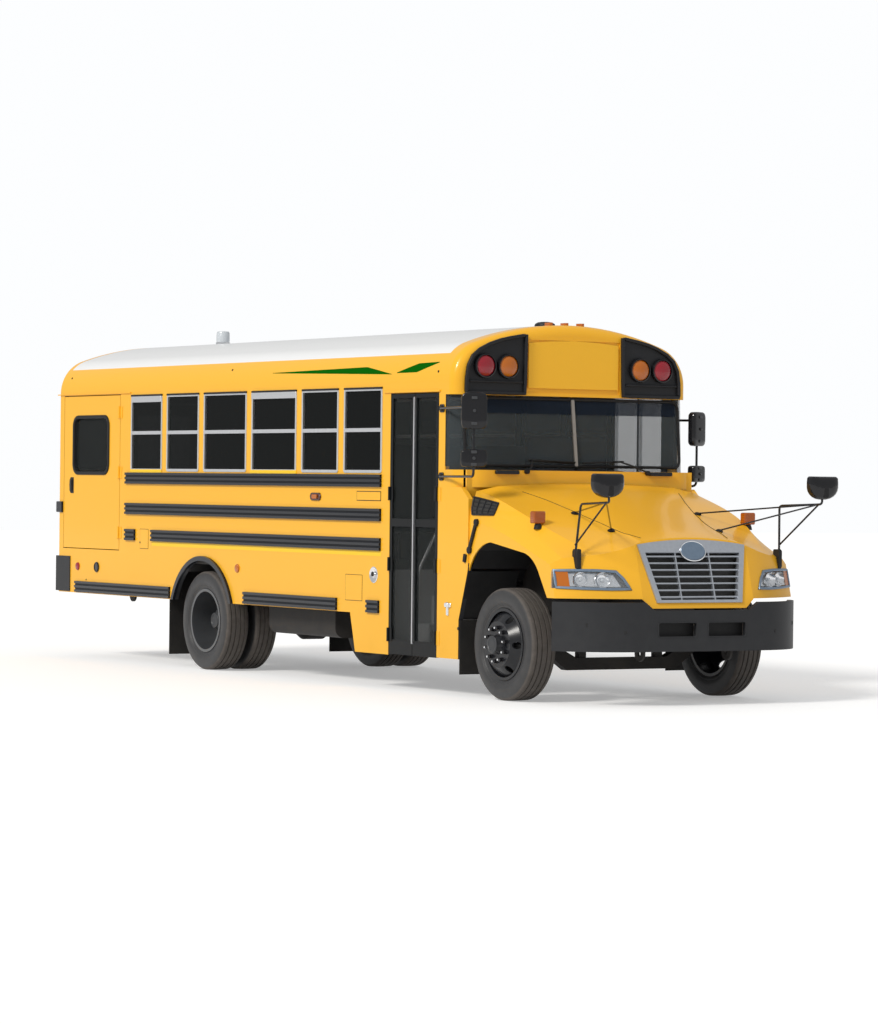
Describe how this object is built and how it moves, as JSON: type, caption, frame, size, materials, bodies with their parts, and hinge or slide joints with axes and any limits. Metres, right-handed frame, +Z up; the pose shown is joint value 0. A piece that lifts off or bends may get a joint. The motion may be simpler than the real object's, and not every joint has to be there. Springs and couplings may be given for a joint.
{
  "type": "school bus",
  "caption": "School bus with a tilting hood, entrance and lift doors, dual rear wheels, folded stop arm and rows of seats behind ribbed side rails.",
  "frame": {"origin": "on the road, under the middle of the overall box", "axes": "+X forward, +Y to the bus's left, +Z up"},
  "size_m": [10.2213, 2.9436, 3.3712],
  "materials": {
    "yellow_paint": "gloss",
    "white_roof_paint": "gloss",
    "black_rub_rail": "satin",
    "charcoal_bumper": "textured",
    "window_aluminium": "satin",
    "clear_glass": "clear",
    "black_door_frame": "satin",
    "chassis_paint": "satin",
    "cast_block": "rough",
    "radiator_core": "matt",
    "pipe_steel": "dull",
    "flap_rubber": "matt",
    "tread_rubber": "matt",
    "gloss_black_rim": "gloss",
    "grey_step_trim": "matt",
    "floor_covering": "ribbed",
    "seat_vinyl": "grained",
    "dark_trim": "grained",
    "red_lens": "clear",
    "amber_lens": "clear",
    "headlight_lens": "clear",
    "beacon_lens": "clear",
    "silver_grille": "satin",
    "black_mirror_shell": "gloss",
    "stop_red": "reflective"
  },
  "bodies": {
    "chassis": {"chassis_frame": "chassis_paint", "floor": "floor_covering", "step_well": "grey_step_trim", "right_wall": "yellow_paint", "left_wall": "yellow_paint", "rear_wall": "yellow_paint", "roof": "white_roof_paint", "front_cap": "yellow_paint", "cowl": "yellow_paint", "cabin_glass": "clear_glass", "window_frames": "window_aluminium", "rub_rails": "black_rub_rail", "arch_rings": "black_rub_rail", "front_bumper": "charcoal_bumper", "rear_bumper": "charcoal_bumper", "engine": "cast_block", "radiator": "radiator_core", "driveline": "chassis_paint", "front_axle": "chassis_paint", "rear_axle": "chassis_paint", "leaf_springs": "chassis_paint", "fuel_tank": "chassis_paint", "exhaust": "pipe_steel", "mud_flaps": "flap_rubber", "passenger_seats": "seat_vinyl", "driver_seat": "seat_vinyl", "dashboard": "dark_trim", "stop_bracket": "black_rub_rail", "red_lamps": "red_lens", "amber_lamps": "amber_lens", "roof_beacons": "beacon_lens", "side_mirrors": "black_mirror_shell"},
    "tilt_hood": {"hood": "yellow_paint", "headlights": "headlight_lens", "grille": "silver_grille", "cross_mirrors": "black_mirror_shell"},
    "steer_left": {"knuckle_left": "chassis_paint"},
    "steer_right": {"knuckle_right": "chassis_paint"},
    "wheel_front_left": {"tyre_front_left": "tread_rubber", "rim_front_left": "gloss_black_rim"},
    "wheel_front_right": {"tyre_front_right": "tread_rubber", "rim_front_right": "gloss_black_rim"},
    "wheel_rear_left": {"tyres_rear_left": "tread_rubber", "rims_rear_left": "gloss_black_rim"},
    "wheel_rear_right": {"tyres_rear_right": "tread_rubber", "rims_rear_right": "gloss_black_rim"},
    "lift_door_body": {"lift_door": "yellow_paint", "lift_door_glass": "clear_glass"},
    "entry_rear_body": {"entry_leaf_rear": "black_door_frame", "entry_glass_rear": "clear_glass"},
    "entry_front_body": {"entry_leaf_front": "black_door_frame", "entry_glass_front": "clear_glass"},
    "rear_door_body": {"rear_door": "yellow_paint", "rear_door_glass": "clear_glass"},
    "stop_arm_body": {"stop_arm": "stop_red"},
    "steering_wheel_body": {"steering_wheel": "dark_trim"}
  },
  "joints": [
    {"name": "hood_tilt", "type": "hinge", "parent": "chassis", "child": "tilt_hood", "pos_m": [4.8055, 0, 0.842], "axis": [0, 1, 0], "range_deg": [0, 65]},
    {"name": "left_steer", "type": "hinge", "parent": "chassis", "child": "steer_left", "pos_m": [3.6155, 0.915, 0.477], "axis": [0, 0, 1], "range_deg": [-36, 36]},
    {"name": "right_steer", "type": "hinge", "parent": "chassis", "child": "steer_right", "pos_m": [3.6155, -0.915, 0.477], "axis": [0, 0, 1], "range_deg": [-36, 36]},
    {"name": "front_left_spin", "type": "hinge", "parent": "steer_left", "child": "wheel_front_left", "pos_m": [3.6155, 1.062, 0.477], "axis": [0, 1, 0], "continuous": true},
    {"name": "front_right_spin", "type": "hinge", "parent": "steer_right", "child": "wheel_front_right", "pos_m": [3.6155, -1.062, 0.477], "axis": [0, 1, 0], "continuous": true},
    {"name": "rear_left_spin", "type": "hinge", "parent": "chassis", "child": "wheel_rear_left", "pos_m": [-1.8015, 0.917, 0.477], "axis": [0, 1, 0], "continuous": true},
    {"name": "rear_right_spin", "type": "hinge", "parent": "chassis", "child": "wheel_rear_right", "pos_m": [-1.8015, -0.917, 0.477], "axis": [0, 1, 0], "continuous": true},
    {"name": "lift_door_swing", "type": "hinge", "parent": "chassis", "child": "lift_door_body", "pos_m": [-3.6395, -1.23, 1.9], "axis": [0, 0, 1], "range_deg": [0, 110]},
    {"name": "entry_rear_swing", "type": "hinge", "parent": "chassis", "child": "entry_rear_body", "pos_m": [1.7755, -1.23, 1.45], "axis": [0, 0, -1], "range_deg": [0, 88]},
    {"name": "entry_front_swing", "type": "hinge", "parent": "chassis", "child": "entry_front_body", "pos_m": [2.5895, -1.23, 1.45], "axis": [0, 0, 1], "range_deg": [0, 88]},
    {"name": "rear_door_swing", "type": "hinge", "parent": "chassis", "child": "rear_door_body", "pos_m": [-5.0955, -0.457, 1.85], "axis": [0, 0, 1], "range_deg": [0, 110]},
    {"name": "stop_arm_swing", "type": "hinge", "parent": "chassis", "child": "stop_arm_body", "pos_m": [1.5355, 1.259, 1.695], "axis": [0, 0, -1], "range_deg": [0, 90]},
    {"name": "steering_wheel_turn", "type": "hinge", "parent": "chassis", "child": "steering_wheel_body", "pos_m": [2.48599, 0.64, 1.79284], "axis": [-0.766, 0, 0.6428], "range_deg": [-540, 540]}
  ],
  "couplings": [
    {"joint": "right_steer", "follows": "left_steer", "ratio": 1},
    {"joint": "steering_wheel_turn", "follows": "left_steer", "ratio": 15},
    {"joint": "entry_front_swing", "follows": "entry_rear_swing", "ratio": 1}
  ]
}
